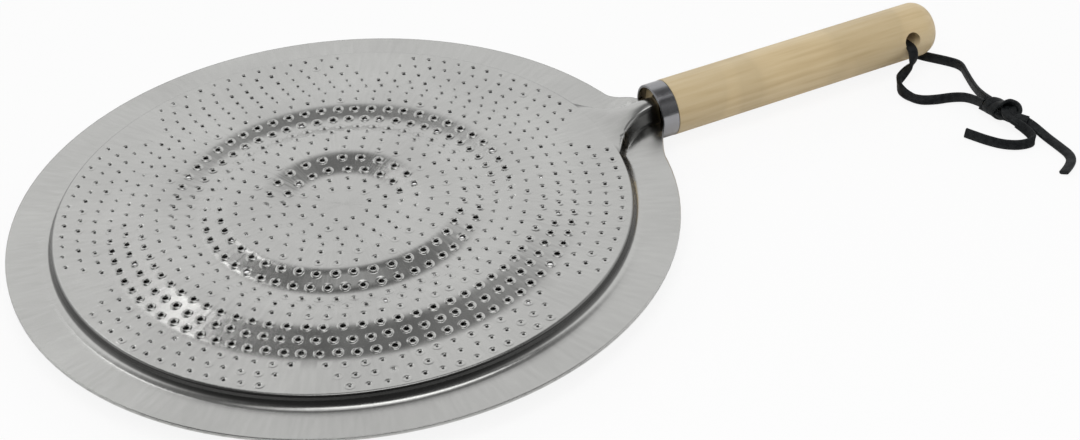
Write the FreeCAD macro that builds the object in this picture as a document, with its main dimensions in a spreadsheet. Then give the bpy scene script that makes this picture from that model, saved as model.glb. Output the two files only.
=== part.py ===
import FreeCAD, Part
import math
import os

import Sketcher
from FreeCAD import Placement, Rotation, Vector

# A gas hob reducer ring: a perforated head of two pressed steel sheets, a ferrule, a wooden handle and a
# leather lace. The head lies flat on z = 0 with its centre over the origin, and the handle points along +X.

doc = FreeCAD.newDocument("reducer_ring")

# Driving dimensions: millimetres, degrees where the name says angle, and plain counts
DIMENSIONS = [
    ("sheet_gauge", 0.5, "thickness of each pressed sheet"),
    ("centre_radius", 16.4, "radius of the flat centre"),
    ("inner_bead_rise", 9.4, "width of the inner bead's inner slope"),
    ("inner_bead_crest", 10.8, "width of the inner bead's flat crest"),
    ("inner_bead_fall", 8.0, "width of the inner bead's outer slope"),
    ("valley_width", 3.4, "width of the flat band between the beads"),
    ("outer_bead_rise", 7.0, "width of the outer bead's inner slope"),
    ("outer_bead_crest", 7.5, "width of the outer bead's flat crest"),
    ("outer_bead_fall", 12.0, "width of the outer bead's outer slope"),
    ("platform_border", 15.9, "width of the flat border outside the outer bead"),
    ("rim_width", 14.6, "width of the rim from the platform's edge outwards"),
    ("centre_height", 1.4, "height of the flat centre above the platform's border"),
    ("inner_bead_height", 3.5, "height of the inner bead's crest above the platform's border"),
    ("valley_height", 1.0, "height of the band between the beads above the platform's border"),
    ("outer_bead_height", 2.4, "height of the outer bead's crest above the platform's border"),
    ("platform_height", 3.7, "height of the platform's border above the rim"),
    ("step_draft", 1.2, "how far the platform's step leans out on its way down"),
    ("step_edge_bend", 0.8, "width of the bend along the platform's edge, to each side of its corner"),
    ("step_foot_bend", 2.6, "width of the bend at the foot of the step, to each side of its corner"),
    ("dish_depth", 7.6, "depth of the lower dish below the rim's underside"),
    ("dish_overhang", 0.6, "how far the dish's mouth stands outside the platform's edge"),
    ("dish_draft", 3.6, "how far the dish wall leans in on its way down"),
    ("dish_corner", 3.0, "rounding of the dish's corners, outside"),
    ("dish_corner_bevel", 1.2, "bevel in the dish's corners, inside"),
    ("vent_border", 3.4, "distance from the platform's edge to the outermost row of vents"),
    ("vent_row_pitch", 4.9, "distance from one row of vents to the next"),
    ("vent_width", 1.9, "width of a vent"),
    ("inlet_radius", 3.0, "radius of an inlet in the lower dish"),
    ("inlet_first_row", 34.0, "radius of the inner row of inlets"),
    ("inlet_row_pitch", 32.0, "distance from one row of inlets to the next"),
    ("neck_root", 3.4, "distance from the platform's edge in to the start of the neck channel"),
    ("neck_half_width", 16.0, "half the channel's width where it starts"),
    ("neck_dish_half_width", 12.0, "half the lower channel's width where it starts"),
    ("neck_dish_depth", 5.5, "depth of the lower channel where it starts"),
    ("neck_run_in", 0.3, "distance inside the ferrule at which the channel becomes the straight tang"),
    ("neck_flare", 5.0, "hollow rounding between the rim and the neck's flat wings"),
    ("wing_run_in", 2.2, "distance inside the ferrule at which the flat wings end"),
    ("tang_radius", 5.1, "outer radius of the tang that the two sheets form"),
    ("tang_length", 32.2, "how far the tang reaches into the wood beyond the ferrule"),
    ("fit_clearance", 0.1, "clearance of each push fit, on the radius"),
    ("handle_lift", 2.9, "height of the handle's axis above the rim's upper face"),
    ("ferrule_gap", 3.7, "distance from the rim to the ferrule's open front"),
    ("ferrule_radius", 9.3, "outer radius of the ferrule"),
    ("ferrule_wall", 0.8, "wall of the ferrule"),
    ("ferrule_length", 6.0, "length of the ferrule"),
    ("ferrule_edge", 0.25, "rounding of the ferrule's outer edges"),
    ("wood_recess", 2.8, "distance from the ferrule's front back to the wood inside it"),
    ("handle_length", 101.4, "length of the handle behind the ferrule"),
    ("handle_front_radius", 9.4, "radius of the handle behind the ferrule"),
    ("handle_end_radius", 9.2, "radius of the handle at its end"),
    ("handle_rounding", 6.0, "rounding of the handle's end"),
    ("socket_end_gap", 1.0, "free depth of the socket beyond the tang"),
    ("lace_hole_radius", 2.9, "radius of the cross hole"),
    ("lace_hole_inset", 11.8, "distance from the handle's end to the cross hole"),
    ("lace_hole_angle", 12.7, "tilt of the cross hole, its near mouth up"),
    ("lace_radius", 1.0, "radius of the plain round solid that stands for the lace"),
    ("knot_radius", 3.3, "largest radius of the knot"),
    ("knot_end_radius", 2.8, "radius of the knot's end faces"),
    ("knot_length", 16.0, "length of the knot"),
    ("knot_strand_offset", 1.5, "distance from the knot's axis to each strand at its end faces"),
]

sizes = doc.addObject("Spreadsheet::Sheet", "Sizes")
for line, (alias, value, meaning) in enumerate(DIMENSIONS, start=1):
    sizes.set(f"A{line}", meaning)
    sizes.set(f"B{line}", str(value))
    sizes.setAlias(f"B{line}", alias)
doc.recompute()


def size(alias):
    """Value of one cell of the sheet."""
    return float(getattr(sizes, alias))


def worked_out(expression):
    """Value of an expression over the sheet's cells."""
    return float(sizes.evalExpression(expression))


# Heights, radii and distances that several features share, as expressions over the sheet
RIM_UNDERSIDE = "Sizes.dish_depth"
JOINT = "(Sizes.dish_depth + Sizes.sheet_gauge)"
RIM_TOP = "(Sizes.dish_depth + 2 * Sizes.sheet_gauge)"
PLATFORM = f"({RIM_TOP} + Sizes.platform_height)"
AXIS_HEIGHT = f"({RIM_TOP} + Sizes.handle_lift)"
INNER_CREST_START = "(Sizes.centre_radius + Sizes.inner_bead_rise)"
INNER_CREST_END = f"({INNER_CREST_START} + Sizes.inner_bead_crest)"
VALLEY_START = f"({INNER_CREST_END} + Sizes.inner_bead_fall)"
VALLEY_END = f"({VALLEY_START} + Sizes.valley_width)"
OUTER_CREST_START = f"({VALLEY_END} + Sizes.outer_bead_rise)"
OUTER_CREST_END = f"({OUTER_CREST_START} + Sizes.outer_bead_crest)"
BORDER_START = f"({OUTER_CREST_END} + Sizes.outer_bead_fall)"
PLATFORM_RADIUS = f"({BORDER_START} + Sizes.platform_border)"
RIM_RADIUS = f"({PLATFORM_RADIUS} + Sizes.rim_width)"
DISH_RADIUS = f"({PLATFORM_RADIUS} + Sizes.dish_overhang)"
FERRULE_START = f"({RIM_RADIUS} + Sizes.ferrule_gap)"
FERRULE_END = f"({FERRULE_START} + Sizes.ferrule_length)"
FERRULE_BORE = "(Sizes.ferrule_radius - Sizes.ferrule_wall)"
WOOD_START = f"({FERRULE_START} + Sizes.wood_recess)"
HANDLE_END = f"({FERRULE_END} + Sizes.handle_length)"
NECK_START = f"({PLATFORM_RADIUS} - Sizes.neck_root)"
NECK_END = f"({FERRULE_START} + Sizes.neck_run_in)"
TANG_END = f"({FERRULE_END} + Sizes.tang_length)"
WING_END = f"({FERRULE_START} + Sizes.wing_run_in)"
WING_DROP = "(Sizes.handle_lift + 2 * Sizes.sheet_gauge)"
WING_HALF = f"(sqrt({FERRULE_BORE} ^ 2 - {WING_DROP} ^ 2) - Sizes.fit_clearance)"


def wall_shift(draft, height):
    """How far a corner of a leaning wall moves in when the sheet's far face is set back by the gauge."""
    return f"Sizes.sheet_gauge * (sqrt({draft} ^ 2 + {height} ^ 2) - {draft}) / {height}"


def origin_plane(body, role):
    """One of a body's own origin planes."""
    for feature in body.Origin.OriginFeatures:
        if feature.Role == role:
            return feature
    raise ValueError(role)


def closed_outline(body, name, role, corners):
    """Sketch of a closed outline of straight lines, both coordinates of each corner bound to the sheet."""
    sketch = body.newObject("Sketcher::SketchObject", name)
    sketch.AttachmentSupport = (origin_plane(body, role), "")
    sketch.MapMode = "FlatFace"
    places = [Vector(worked_out(across), worked_out(up), 0) for across, up in corners]
    count = len(places)
    for i in range(count):
        sketch.addGeometry(Part.LineSegment(places[i], places[(i + 1) % count]), False)
    for i in range(count):
        sketch.addConstraint(Sketcher.Constraint("Coincident", i, 2, (i + 1) % count, 1))
    for i, corner in enumerate(corners):
        for kind, expression, value, axis in (("DistanceX", corner[0], places[i].x, -2),
                                              ("DistanceY", corner[1], places[i].y, -1)):
            if expression == "0":
                sketch.addConstraint(Sketcher.Constraint("PointOnObject", i, 1, axis))
            else:
                index = sketch.addConstraint(Sketcher.Constraint(kind, -1, 1, i, 1, value))
                sketch.setExpression(f"Constraints[{index}]", expression)
    return sketch


def turned(body, sketch, axis):
    """The outline carried once round an axis of its sketch."""
    feature = body.newObject("PartDesign::Revolution", body.Name + "_turned")
    feature.Profile = sketch
    feature.ReferenceAxis = (sketch, [axis])
    feature.Angle = 360
    doc.recompute()
    return feature


def round_edges(shape, places, along):
    """Names of the circular edges with the given radii, at the given places along their axis."""
    names = []
    for number, edge in enumerate(shape.Edges, start=1):
        if isinstance(edge.Curve, Part.Circle):
            centre = edge.Curve.Center
            offset = {"x": centre.x, "z": centre.z}[along]
            for radius, place in places:
                if abs(edge.Curve.Radius - radius) < 1e-4 and abs(offset - place) < 1e-4:
                    names.append(f"Edge{number}")
    return names


def dressed(body, base, name, kind, width, places, along="z"):
    """Fillet or chamfer of the round edges at the given pairs of radius and place, all expressions."""
    values = [(worked_out(radius), worked_out(place)) for radius, place in places]
    feature = body.newObject(f"PartDesign::{kind}", name)
    feature.Base = (base, round_edges(base.Shape, values, along))
    feature.setExpression({"Fillet": "Radius", "Chamfer": "Size"}[kind], width)
    doc.recompute()
    return feature


def add_wings(body, base, name, underside):
    """Flat wings that carry the rim on into the ferrule, with a hollow rounding at each root."""
    root = f"({RIM_RADIUS} - Sizes.rim_width / 2)"
    corners = [(root, f"-{WING_HALF}"), (WING_END, f"-{WING_HALF}"), (WING_END, WING_HALF), (root, WING_HALF)]
    sketch = closed_outline(body, name + "_outline", "XY_Plane", corners)
    sketch.setExpression("AttachmentOffset.Base.z", underside)
    wings = body.newObject("PartDesign::Pad", name)
    wings.Profile = sketch
    wings.setExpression("Length", "Sizes.sheet_gauge")
    doc.recompute()
    half = worked_out(WING_HALF)
    meeting = math.sqrt(worked_out(RIM_RADIUS) ** 2 - half ** 2)
    roots = []
    for number, edge in enumerate(wings.Shape.Edges, start=1):
        box = edge.BoundBox
        upright = box.XLength + box.YLength < 1e-4
        if upright and abs(box.XMin - meeting) < 1e-3 and abs(abs(box.YMin) - half) < 1e-3:
            roots.append(f"Edge{number}")
    flare = body.newObject("PartDesign::Fillet", name + "_flare")
    flare.Base = (wings, roots)
    flare.setExpression("Radius", "Sizes.neck_flare")
    doc.recompute()
    return flare


def channel_section(share, side, inset):
    """Closed section across the neck: an ellipse's arc on the joint plane and the chord under it.

    share runs from 0 at the platform to 1 at the tang. The half width falls with (1 - share) squared, the
    crest runs straight from its first height to the tang's, and the centre rises with share squared.
    """
    tang = size("tang_radius")
    rise = worked_out(AXIS_HEIGHT) - worked_out(JOINT)
    if side > 0:
        first_width = size("neck_half_width")
        first_reach = size("platform_height") + size("sheet_gauge") / 2
    else:
        first_width = size("neck_dish_half_width")
        first_reach = size("neck_dish_depth")
    last_reach = tang + side * rise
    half_width = tang + (first_width - tang) * (1 - share) ** 2 - inset
    centre = rise * share ** 2
    reach = first_reach + (last_reach - first_reach) * share
    half_height = reach - side * centre - inset
    start = -math.asin(side * centre / half_height)
    place = worked_out(NECK_START) + (worked_out(NECK_END) - worked_out(NECK_START)) * share
    points = []
    for step in range(13):
        angle = start + (math.pi - 2 * start) * step / 12
        across = half_width * math.cos(angle)
        up = centre + side * half_height * math.sin(angle)
        points.append(Vector(place, across, worked_out(JOINT) + up))
    arc = Part.BSplineCurve()
    arc.interpolate(points)
    return Part.Wire([arc.toShape(), Part.LineSegment(points[-1], points[0]).toShape()])


def channel_form(name, side, inset):
    """Solid form of the neck's channel and the tang, on one side of the joint plane."""
    sections = [channel_section(step / 5, side, inset) for step in range(6)]
    channel = Part.makeLoft(sections, True, False)
    tang = Part.Face(sections[-1]).extrude(Vector(worked_out(TANG_END) - worked_out(NECK_END), 0, 0))
    form = doc.addObject("Part::Feature", name)
    form.Shape = channel.fuse(tang)
    return form


def dish_space(name, low, low_radius, high, high_radius):
    """Cone that fills the space inside a pressed sheet between two heights."""
    cone = doc.addObject("Part::Cone", name)
    cone.setExpression("Radius1", low_radius)
    cone.setExpression("Radius2", high_radius)
    cone.setExpression("Height", f"{high} - {low}")
    cone.setExpression("Placement.Base.z", low)
    return cone


def cut(name, base, tool):
    """One object less another."""
    result = doc.addObject("Part::Cut", name)
    result.Base = base
    result.Tool = tool
    return result


def with_channel(name, disc, side, space):
    """The disc opened along the neck and joined to the channel's own sheet."""
    outer = channel_form(name + "_channel_outside", side, 0)
    inner = channel_form(name + "_channel_inside", side, size("sheet_gauge"))
    opened = cut(name + "_opened", disc, inner)
    shell = cut(name + "_channel", cut(name + "_channel_wall", outer, inner), space)
    joined = doc.addObject("Part::Fuse", name + "_joined")
    joined.Base = opened
    joined.Tool = shell
    joined.Refine = True
    return joined


# Top plate: the sheet that the pan stands on
top_body = doc.addObject("PartDesign::Body", "top_disc")
bead_corners = [
    ("Sizes.centre_radius", f"{PLATFORM} + Sizes.centre_height"),
    (INNER_CREST_START, f"{PLATFORM} + Sizes.inner_bead_height"),
    (INNER_CREST_END, f"{PLATFORM} + Sizes.inner_bead_height"),
    (VALLEY_START, f"{PLATFORM} + Sizes.valley_height"),
    (VALLEY_END, f"{PLATFORM} + Sizes.valley_height"),
    (OUTER_CREST_START, f"{PLATFORM} + Sizes.outer_bead_height"),
    (OUTER_CREST_END, f"{PLATFORM} + Sizes.outer_bead_height"),
    (BORDER_START, PLATFORM),
]
step_shift = wall_shift("Sizes.step_draft", "Sizes.platform_height")
step_foot = f"{PLATFORM_RADIUS} + Sizes.step_draft"
upper_face = [("0", f"{PLATFORM} + Sizes.centre_height")] + bead_corners + [
    (PLATFORM_RADIUS, PLATFORM),
    (step_foot, RIM_TOP),
    (RIM_RADIUS, RIM_TOP),
]
step_top_under = (f"{PLATFORM_RADIUS} - {step_shift}", f"{PLATFORM} - Sizes.sheet_gauge")
step_foot_under = (f"{step_foot} - {step_shift}", JOINT)
bead_corners_under = [(radius, f"{height} - Sizes.sheet_gauge") for radius, height in bead_corners]
lower_face = [("0", f"{PLATFORM} + Sizes.centre_height - Sizes.sheet_gauge")] + bead_corners_under + [
    step_top_under,
    step_foot_under,
    (RIM_RADIUS, JOINT),
]
top_outline = closed_outline(top_body, "top_section", "XZ_Plane", upper_face + lower_face[::-1])
top_shape = turned(top_body, top_outline, "V_Axis")
top_shape = dressed(top_body, top_shape, "step_edge", "Chamfer", "Sizes.step_edge_bend",
                    [(PLATFORM_RADIUS, PLATFORM)])
top_shape = dressed(top_body, top_shape, "step_foot", "Chamfer", "Sizes.step_foot_bend",
                    [(step_foot, RIM_TOP), step_foot_under])
add_wings(top_body, top_shape, "top_wings", JOINT)
top_space = dish_space("top_space", JOINT, step_foot_under[0], step_top_under[1], step_top_under[0])
top_sheet = with_channel("top", top_body, 1, top_space)

# Vents: rows of small holes as long as they are wide, their ends along the row. A row holds every second
# one of the real vents, whose full number is given here from the rim inwards. The three outer rows are
# broken by plain gaps.
VENTS_IN_ROW = [78, 84, 84, 84, 80, 72, 66, 60, 58, 50, 42, 36, 30, 24, 20, 15, 10]
SECTORS = 6
SECTOR_ROWS = 3
SECTOR_PITCH_ANGLES = [3.56, 3.64, 4.03]
GAP_ANGLE = 0.0
KEPT_EVERY = 2


def vent_angles(row):
    """Angles, in degrees, of the vents in one row."""
    count = VENTS_IN_ROW[row]
    if row >= SECTOR_ROWS:
        kept = count // KEPT_EVERY
        return [360.0 * i / kept for i in range(kept)]
    in_sector = count // SECTORS
    pitch = SECTOR_PITCH_ANGLES[row]
    angles = []
    for sector in range(SECTORS):
        middle = GAP_ANGLE + 360.0 / SECTORS * (sector + 0.5)
        for i in range(0, in_sector, KEPT_EVERY):
            angles.append(middle + pitch * (i - (in_sector - 1) / 2))
    return angles


def vent_pins():
    """One upright pin for each vent: a short stretch of a ring about the disc's axis."""
    width = size("vent_width")
    low = worked_out(JOINT)
    high = worked_out(PLATFORM) + 2 * size("inner_bead_height")
    pins = []
    for row in range(len(VENTS_IN_ROW)):
        radius = worked_out(PLATFORM_RADIUS) - size("vent_border") - row * size("vent_row_pitch")
        if radius < 2 * width:
            break
        near = radius - width / 2
        far = radius + width / 2
        corners = [Vector(near, 0, low), Vector(far, 0, low), Vector(far, 0, high), Vector(near, 0, high)]
        face = Part.Face(Part.makePolygon(corners + corners[:1]))
        spread = math.degrees(width / radius)
        for angle in vent_angles(row):
            pin = face.revolve(Vector(0, 0, 0), Vector(0, 0, 1), spread)
            pin.rotate(Vector(0, 0, 0), Vector(0, 0, 1), angle - spread / 2)
            pins.append(pin)
    return Part.makeCompound(pins)


vents = doc.addObject("Part::Feature", "vent_pins")
vents.Shape = vent_pins()
top_plate = cut("top_plate", top_sheet, vents)
top_plate.Label = "top_plate"

# Base plate: the lower sheet, a shallow dish that stands level and lets the flame's heat in
base_body = doc.addObject("PartDesign::Body", "base_disc")
dish_shift = wall_shift("Sizes.dish_draft", "Sizes.dish_depth")
dish_floor = f"({DISH_RADIUS} - Sizes.dish_draft)"
dish_corners = [
    ("0", "0"),
    (dish_floor, "0"),
    (DISH_RADIUS, RIM_UNDERSIDE),
    (RIM_RADIUS, RIM_UNDERSIDE),
    (RIM_RADIUS, JOINT),
    (f"{DISH_RADIUS} - {dish_shift}", JOINT),
    (f"{dish_floor} - {dish_shift}", "Sizes.sheet_gauge"),
    ("0", "Sizes.sheet_gauge"),
]
base_outline = closed_outline(base_body, "base_section", "XZ_Plane", dish_corners)
base_shape = turned(base_body, base_outline, "V_Axis")
base_shape = dressed(base_body, base_shape, "dish_outside", "Fillet", "Sizes.dish_corner",
                     [dish_corners[1], dish_corners[2]])
base_shape = dressed(base_body, base_shape, "dish_inside", "Chamfer", "Sizes.dish_corner_bevel",
                     [dish_corners[5], dish_corners[6]])
add_wings(base_body, base_shape, "base_wings", RIM_UNDERSIDE)
base_space = dish_space("base_space", "Sizes.sheet_gauge", dish_corners[6][0], JOINT, dish_corners[5][0])
base_sheet = with_channel("base", base_body, -1, base_space)

INLETS_IN_ROW = [12, 18]


def inlet_pins():
    """One upright round pin for each inlet through the dish's floor."""
    pins = []
    for row, count in enumerate(INLETS_IN_ROW):
        radius = size("inlet_first_row") + row * size("inlet_row_pitch")
        for i in range(count):
            angle = 2 * math.pi * i / count
            foot = Vector(radius * math.cos(angle), radius * math.sin(angle), -size("sheet_gauge"))
            pins.append(Part.makeCylinder(size("inlet_radius"), 3 * size("sheet_gauge"), foot))
    return Part.makeCompound(pins)


inlets = doc.addObject("Part::Feature", "inlet_pins")
inlets.Shape = inlet_pins()
base_plate = cut("base_plate", base_sheet, inlets)
base_plate.Label = "base_plate"

# Ferrule: a short steel tube pushed over the wood's spigot
ferrule = doc.addObject("PartDesign::Body", "ferrule")
ferrule.Label = "ferrule"
ferrule_corners = [
    (FERRULE_START, FERRULE_BORE),
    (FERRULE_END, FERRULE_BORE),
    (FERRULE_END, "Sizes.ferrule_radius"),
    (FERRULE_START, "Sizes.ferrule_radius"),
]
ferrule_outline = closed_outline(ferrule, "ferrule_section", "XZ_Plane", ferrule_corners)
ferrule_shape = turned(ferrule, ferrule_outline, "H_Axis")
dressed(ferrule, ferrule_shape, "ferrule_edges", "Fillet", "Sizes.ferrule_edge",
        [("Sizes.ferrule_radius", FERRULE_START), ("Sizes.ferrule_radius", FERRULE_END)], "x")
ferrule.setExpression("Placement.Base.z", AXIS_HEIGHT)

# Handle: one turned piece of wood with a spigot for the ferrule, a blind socket for the tang and a cross hole
wood = doc.addObject("PartDesign::Body", "wood")
SPIGOT_RADIUS = f"{FERRULE_BORE} - Sizes.fit_clearance"
SOCKET_RADIUS = "Sizes.tang_radius + Sizes.fit_clearance"
SOCKET_END = f"{TANG_END} + Sizes.socket_end_gap"
wood_corners = [
    (WOOD_START, SOCKET_RADIUS),
    (SOCKET_END, SOCKET_RADIUS),
    (SOCKET_END, "0"),
    (HANDLE_END, "0"),
    (HANDLE_END, "Sizes.handle_end_radius"),
    (FERRULE_END, "Sizes.handle_front_radius"),
    (FERRULE_END, SPIGOT_RADIUS),
    (WOOD_START, SPIGOT_RADIUS),
]
wood_outline = closed_outline(wood, "wood_section", "XZ_Plane", wood_corners)
wood_shape = turned(wood, wood_outline, "H_Axis")
dressed(wood, wood_shape, "handle_end_rounding", "Fillet", "Sizes.handle_rounding",
        [("Sizes.handle_end_radius", HANDLE_END)], "x")
wood.setExpression("Placement.Base.z", AXIS_HEIGHT)

HOLE_PLACE = f"({HANDLE_END} - Sizes.lace_hole_inset)"
HOLE_REACH = "(2 * Sizes.handle_front_radius)"
lace_hole = doc.addObject("Part::Cylinder", "lace_hole")
lace_hole.setExpression("Radius", "Sizes.lace_hole_radius")
lace_hole.setExpression("Height", f"2 * {HOLE_REACH}")
lace_hole.Placement = Placement(Vector(0, 0, 0), Rotation(Vector(1, 0, 0), 90))
lace_hole.setExpression("Placement.Rotation.Axis.x", "1")
lace_hole.setExpression("Placement.Rotation.Angle", "90 - Sizes.lace_hole_angle")
lace_hole.setExpression("Placement.Base.x", HOLE_PLACE)
lace_hole.setExpression("Placement.Base.y", f"{HOLE_REACH} * cos(Sizes.lace_hole_angle * 1deg)")
lace_hole.setExpression("Placement.Base.z", f"{AXIS_HEIGHT} - {HOLE_REACH} * sin(Sizes.lace_hole_angle * 1deg)")
handle = cut("handle", wood, lace_hole)
handle.Label = "handle"

# Lace: chosen points of each stretch's route, in millimetres. The loop leaves one end face of the knot, lies
# round under the handle's end, runs through the cross hole and comes down again to the same face.
KNOT_CENTRE = Vector(215.1, -47.7, 3.4)
KNOT_HEADING = Vector(0.1865, -0.9825, 0)
LOOP_ROUTE = [
    Vector(214.2, -34.6, 3.4),
    Vector(217.3, -26.8, 1.5),
    Vector(219.7, -19.6, 1.05),
    Vector(219.5, -13.0, 1.05),
    Vector(216.2, -7.2, 1.05),
    Vector(211.6, -1.9, 1.05),
    Vector(208.9, 4.6, 1.05),
    Vector(206.6, 10.0, 1.7),
    Vector(205.2, 12.0, 4.9),
    Vector(204.4, 10.4, 7.5),
    Vector(204.3, 3.5, 9.1),
    Vector(204.3, -4.5, 10.9),
    Vector(204.3, -10.6, 12.4),
    Vector(203.7, -12.3, 9.8),
    Vector(202.1, -12.0, 6.6),
    Vector(199.3, -12.0, 3.5),
    Vector(196.3, -14.6, 1.3),
    Vector(195.0, -19.4, 1.05),
    Vector(197.0, -25.0, 1.05),
    Vector(202.6, -27.6, 1.05),
    Vector(208.0, -30.4, 1.5),
    Vector(211.2, -35.2, 3.4),
]
TAIL_A_ROUTE = [
    Vector(218.8, -59.3, 3.4),
    Vector(220.3, -64.0, 1.3),
    Vector(221.5, -69.6, 1.05),
    Vector(220.9, -75.3, 1.05),
    Vector(217.8, -79.6, 1.05),
    Vector(213.8, -82.2, 1.05),
]
TAIL_B_ROUTE = [
    Vector(215.9, -59.9, 3.4),
    Vector(214.9, -63.6, 1.3),
    Vector(210.6, -64.0, 1.05),
    Vector(206.0, -61.8, 1.05),
    Vector(203.0, -57.2, 1.05),
    Vector(200.8, -52.8, 1.05),
    Vector(199.3, -49.2, 1.05),
]


def on_knot(end, sideways):
    """Place on an end face of the knot: end is -1 at the loop and 1 at the tails."""
    across = Vector(-KNOT_HEADING.y, KNOT_HEADING.x, 0)
    along = KNOT_HEADING * (end * size("knot_length") / 2)
    return KNOT_CENTRE + along + across * (sideways * size("knot_strand_offset"))


def squared_to_knot(point, end_place):
    """The point moved level with the knot's end place and straight behind it along the knot's axis."""
    run = (point - end_place).dot(KNOT_HEADING)
    return end_place + KNOT_HEADING * run


def lace_tube(label, route):
    """Round tube along straight runs joined by tangent arcs, each arc 0.45 of the shorter run at its corner."""
    edges = []
    radii = []
    start = route[0]
    for before, corner, after in zip(route, route[1:], route[2:]):
        incoming = (corner - before).normalize()
        outgoing = (after - corner).normalize()
        half_turn = incoming.getAngle(outgoing) / 2
        setback = 0.45 * min(before.distanceToPoint(corner), corner.distanceToPoint(after))
        radius = setback / math.tan(half_turn)
        arc_start = corner - incoming * setback
        arc_end = corner + outgoing * setback
        towards = (outgoing - incoming).normalize()
        arc_middle = corner + towards * (radius / math.cos(half_turn) - radius)
        edges.append(Part.LineSegment(start, arc_start).toShape())
        edges.append(Part.Arc(arc_start, arc_middle, arc_end).toShape())
        start = arc_end
        radii.append(radius)
    edges.append(Part.LineSegment(start, route[-1]).toShape())
    path = Part.Wire(edges)
    section = Part.Wire([Part.Circle(route[0], route[1] - route[0], size("lace_radius")).toShape()])
    tube = doc.addObject("Part::Feature", label)
    tube.Label = label
    tube.Shape = path.makePipeShell([section], True, False)
    expected = math.pi * size("lace_radius") ** 2 * path.Length
    print(label, "length", round(path.Length, 1), "radii", [round(r, 1) for r in radii],
          "volume over section times length", round(tube.Shape.Volume / expected, 4))
    return tube


loop_first = on_knot(-1, 1)
loop_last = on_knot(-1, -1)
tail_a_first = on_knot(1, 1)
tail_b_first = on_knot(1, -1)
loop_points = ([loop_first, squared_to_knot(LOOP_ROUTE[0], loop_first)] + LOOP_ROUTE[1:-1]
               + [squared_to_knot(LOOP_ROUTE[-1], loop_last), loop_last])
tail_a_points = [tail_a_first, squared_to_knot(TAIL_A_ROUTE[0], tail_a_first)] + TAIL_A_ROUTE[1:]
tail_b_points = [tail_b_first, squared_to_knot(TAIL_B_ROUTE[0], tail_b_first)] + TAIL_B_ROUTE[1:]
lace_loop = lace_tube("lace_loop", loop_points)
lace_tail_a = lace_tube("lace_tail_a", tail_a_points)
lace_tail_b = lace_tube("lace_tail_b", tail_b_points)

# Knot: a plain barrel with flat ends, in line with the strands
knot = doc.addObject("PartDesign::Body", "lace_knot")
knot.Label = "lace_knot"
knot_corners = [
    ("-Sizes.knot_length / 2", "0"),
    ("Sizes.knot_length / 2", "0"),
    ("Sizes.knot_length / 2", "Sizes.knot_end_radius"),
    ("Sizes.knot_length / 4", "Sizes.knot_radius"),
    ("-Sizes.knot_length / 4", "Sizes.knot_radius"),
    ("-Sizes.knot_length / 2", "Sizes.knot_end_radius"),
]
knot_outline = closed_outline(knot, "knot_section", "XZ_Plane", knot_corners)
turned(knot, knot_outline, "H_Axis")
heading_angle = math.degrees(math.atan2(KNOT_HEADING.y, KNOT_HEADING.x))
knot.Placement = Placement(KNOT_CENTRE, Rotation(Vector(0, 0, 1), heading_angle))

doc.recompute()

# Checks on every object, then one file for each piece
for item in doc.Objects:
    if "Invalid" in item.State or "Error" in item.State:
        raise RuntimeError(f"{item.Label}: {item.State}")

pieces = [top_plate, base_plate, ferrule, handle, lace_loop, lace_tail_a, lace_tail_b, knot]
os.makedirs("parts", exist_ok=True)
for piece in pieces:
    shape = piece.Shape
    if shape.isNull() or not shape.isValid():
        raise RuntimeError(f"{piece.Label}: no valid shape")
    box = shape.BoundBox
    print(piece.Label, "solids", len(shape.Solids), "faces", len(shape.Faces), "volume", round(shape.Volume, 1),
          "box", [round(v, 2) for v in (box.XMin, box.YMin, box.ZMin, box.XMax, box.YMax, box.ZMax)])
    shape.exportStep(f"parts/{piece.Label}.step")
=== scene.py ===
import bmesh
import bpy
import numpy as np
from mathutils import Matrix, Vector


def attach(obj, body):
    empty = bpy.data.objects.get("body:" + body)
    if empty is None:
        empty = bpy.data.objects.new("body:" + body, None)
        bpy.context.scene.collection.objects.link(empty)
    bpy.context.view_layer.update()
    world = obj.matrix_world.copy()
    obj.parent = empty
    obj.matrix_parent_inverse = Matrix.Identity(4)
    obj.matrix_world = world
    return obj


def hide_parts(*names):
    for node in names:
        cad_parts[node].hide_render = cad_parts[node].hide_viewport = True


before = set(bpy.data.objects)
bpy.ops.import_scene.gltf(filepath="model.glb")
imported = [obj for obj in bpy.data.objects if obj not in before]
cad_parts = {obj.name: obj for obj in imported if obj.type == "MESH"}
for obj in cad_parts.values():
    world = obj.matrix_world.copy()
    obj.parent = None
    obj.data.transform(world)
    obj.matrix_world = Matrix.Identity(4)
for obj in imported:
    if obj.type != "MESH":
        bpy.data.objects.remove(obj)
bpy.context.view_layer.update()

# Top plate: one disc of tinned sheet steel, pressed with two round beads and a raised platform, and punched
# from below with rows of vents, each with a small level lip. Its rim runs on into the ferrule as a channel
# between two wings, and is folded flat on the lower plate's rim.
MM = 0.001
PLATE_GAUGE = 0.5 * MM
RIM_TOP = 8.6 * MM
RIM_RADIUS = 105 * MM
PLATFORM_TOP = 12.3 * MM
PLATFORM_RADIUS = 90.4 * MM
BEAD_ROUNDING = 1.4 * MM
BEAD_RADII = np.array([0, 16.4, 25.8, 36.6, 44.6, 48.0, 55.0, 62.5, 74.5, 95.0]) * MM
BEAD_HEIGHTS = np.array([1.4, 1.4, 3.5, 3.5, 1.0, 1.0, 2.4, 2.4, 0, 0]) * MM

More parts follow.
